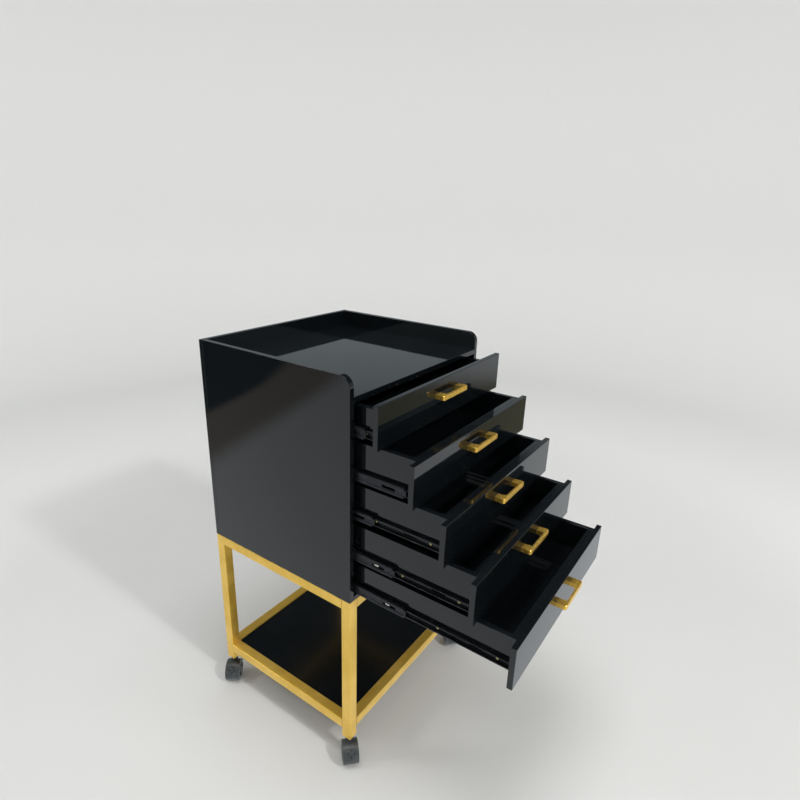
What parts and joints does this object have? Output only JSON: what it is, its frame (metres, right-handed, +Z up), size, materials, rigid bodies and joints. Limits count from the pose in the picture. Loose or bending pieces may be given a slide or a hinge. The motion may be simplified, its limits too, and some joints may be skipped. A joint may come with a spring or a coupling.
{
  "type": "spa trolley cart",
  "caption": "Gloss black spa trolley: a cabinet of open-stacked drawers with bow handles and a tray top, on a gold square-tube stand with a lower shelf and twin-wheel casters.",
  "frame": {"origin": "on the floor, under the middle of the whole cart's box as stored, with the drawers drawn out in a cascade and the casters in their stored headings", "axes": "+Z up, +X to the right of someone facing the drawers, drawers open towards -Y"},
  "size_m": [0.4496, 0.6728, 0.767],
  "materials": {
    "lacquer": "mirror-gloss black lacquer",
    "gold_frame": "satin metallic gold paint",
    "gold_handle": "brushed gold plating",
    "slides": "black zinc plated sheet",
    "screws": "bright zinc",
    "steel": "satin steel",
    "nylon": "moulded black nylon",
    "tread": "black nylon wheel, slightly polished by use"
  },
  "bodies": {
    "cart": {"side_panel_left": "lacquer", "side_panel_right": "lacquer", "back_panel": "lacquer", "top_deck": "lacquer", "bottom_panel": "lacquer", "stand_legs": "gold_frame", "stand_side_rails": "gold_frame", "stand_cross_rails": "gold_frame", "shelf_panel": "lacquer", "slide_cabinet_members": "slides", "cabinet_screws": "screws", "caster_stems": "steel", "caster_sockets": "nylon"},
    "drawer_1": {"drawer_1_front": "lacquer", "drawer_1_walls": "lacquer", "drawer_1_bottom": "lacquer", "drawer_1_handle": "gold_handle", "drawer_1_slide_members": "slides", "drawer_1_screws": "screws"},
    "slide_1_middle": {"slide_1_middle_members": "slides"},
    "drawer_2": {"drawer_2_front": "lacquer", "drawer_2_walls": "lacquer", "drawer_2_bottom": "lacquer", "drawer_2_handle": "gold_handle", "drawer_2_slide_members": "slides", "drawer_2_screws": "screws"},
    "slide_2_middle": {"slide_2_middle_members": "slides"},
    "drawer_3": {"drawer_3_front": "lacquer", "drawer_3_walls": "lacquer", "drawer_3_bottom": "lacquer", "drawer_3_handle": "gold_handle", "drawer_3_slide_members": "slides", "drawer_3_screws": "screws"},
    "slide_3_middle": {"slide_3_middle_members": "slides"},
    "drawer_4": {"drawer_4_front": "lacquer", "drawer_4_walls": "lacquer", "drawer_4_bottom": "lacquer", "drawer_4_handle": "gold_handle", "drawer_4_slide_members": "slides", "drawer_4_screws": "screws"},
    "slide_4_middle": {"slide_4_middle_members": "slides"},
    "drawer_5": {"drawer_5_front": "lacquer", "drawer_5_walls": "lacquer", "drawer_5_bottom": "lacquer", "drawer_5_handle": "gold_handle", "drawer_5_slide_members": "slides", "drawer_5_screws": "screws"},
    "slide_5_middle": {"slide_5_middle_members": "slides"},
    "caster_front_left": {"caster_front_left_hood": "nylon", "caster_front_left_axle": "steel"},
    "caster_front_left_wheels": {"caster_front_left_wheels": "tread"},
    "caster_front_right": {"caster_front_right_hood": "nylon", "caster_front_right_axle": "steel"},
    "caster_front_right_wheels": {"caster_front_right_wheels": "tread"},
    "caster_back_left": {"caster_back_left_hood": "nylon", "caster_back_left_axle": "steel"},
    "caster_back_left_wheels": {"caster_back_left_wheels": "tread"},
    "caster_back_right": {"caster_back_right_hood": "nylon", "caster_back_right_axle": "steel"},
    "caster_back_right_wheels": {"caster_back_right_wheels": "tread"}
  },
  "joints": [
    {"name": "drawer_1_slide", "type": "slide", "parent": "cart", "child": "drawer_1", "axis": [0, -1, 0], "range_m": [-0.0409, 0.2591]},
    {"name": "slide_1_middle_slide", "type": "slide", "parent": "cart", "child": "slide_1_middle", "axis": [0, -1, 0], "range_m": [-0.0231, 0.1458]},
    {"name": "drawer_2_slide", "type": "slide", "parent": "cart", "child": "drawer_2", "axis": [0, -1, 0], "range_m": [-0.1068, 0.1932]},
    {"name": "slide_2_middle_slide", "type": "slide", "parent": "cart", "child": "slide_2_middle", "axis": [0, -1, 0], "range_m": [-0.0991, 0.17919]},
    {"name": "drawer_3_slide", "type": "slide", "parent": "cart", "child": "drawer_3", "axis": [0, -1, 0], "range_m": [-0.1636, 0.1364]},
    {"name": "slide_3_middle_slide", "type": "slide", "parent": "cart", "child": "slide_3_middle", "axis": [0, -1, 0], "range_m": [-0.0416, 0.0347]},
    {"name": "drawer_4_slide", "type": "slide", "parent": "cart", "child": "drawer_4", "axis": [0, -1, 0], "range_m": [-0.2177, 0.0823]},
    {"name": "slide_4_middle_slide", "type": "slide", "parent": "cart", "child": "slide_4_middle", "axis": [0, -1, 0], "range_m": [-0.0831, 0.03148]},
    {"name": "drawer_5_slide", "type": "slide", "parent": "cart", "child": "drawer_5", "axis": [0, -1, 0], "range_m": [-0.2863, 0.0137]},
    {"name": "slide_5_middle_slide", "type": "slide", "parent": "cart", "child": "slide_5_middle", "axis": [0, -1, 0], "range_m": [-0.1066, 0.0052]},
    {"name": "caster_front_left_swivel", "type": "hinge", "parent": "cart", "child": "caster_front_left", "pos_m": [-0.19, -0.01262, 0.0462], "axis": [0, 0, 1], "continuous": true},
    {"name": "caster_front_left_roll", "type": "hinge", "parent": "caster_front_left", "child": "caster_front_left_wheels", "pos_m": [-0.1975, -0.02067, 0.02], "axis": [0.7314, -0.682, 0], "continuous": true},
    {"name": "caster_front_right_swivel", "type": "hinge", "parent": "cart", "child": "caster_front_right", "pos_m": [0.19, -0.01262, 0.0462], "axis": [0, 0, 1], "continuous": true},
    {"name": "caster_front_right_roll", "type": "hinge", "parent": "caster_front_right", "child": "caster_front_right_wheels", "pos_m": [0.1825, -0.02067, 0.02], "axis": [0.7314, -0.682, 0], "continuous": true},
    {"name": "caster_back_left_swivel", "type": "hinge", "parent": "cart", "child": "caster_back_left", "pos_m": [-0.19, 0.31888, 0.0462], "axis": [0, 0, 1], "continuous": true},
    {"name": "caster_back_left_roll", "type": "hinge", "parent": "caster_back_left", "child": "caster_back_left_wheels", "pos_m": [-0.19878, 0.31226, 0.02], "axis": [0.6018, -0.7986, 0], "continuous": true},
    {"name": "caster_back_right_swivel", "type": "hinge", "parent": "cart", "child": "caster_back_right", "pos_m": [0.19, 0.31888, 0.0462], "axis": [0, 0, 1], "continuous": true},
    {"name": "caster_back_right_roll", "type": "hinge", "parent": "caster_back_right", "child": "caster_back_right_wheels", "pos_m": [0.19878, 0.31226, 0.02], "axis": [0.6018, 0.7986, 0], "continuous": true}
  ],
  "couplings": [
    {"joint": "slide_1_middle_slide", "follows": "drawer_1_slide", "ratio": 0.56235},
    {"joint": "slide_2_middle_slide", "follows": "drawer_2_slide", "ratio": 0.92697},
    {"joint": "slide_3_middle_slide", "follows": "drawer_3_slide", "ratio": 0.25367},
    {"joint": "slide_4_middle_slide", "follows": "drawer_4_slide", "ratio": 0.38126},
    {"joint": "slide_5_middle_slide", "follows": "drawer_5_slide", "ratio": 0.37199}
  ]
}
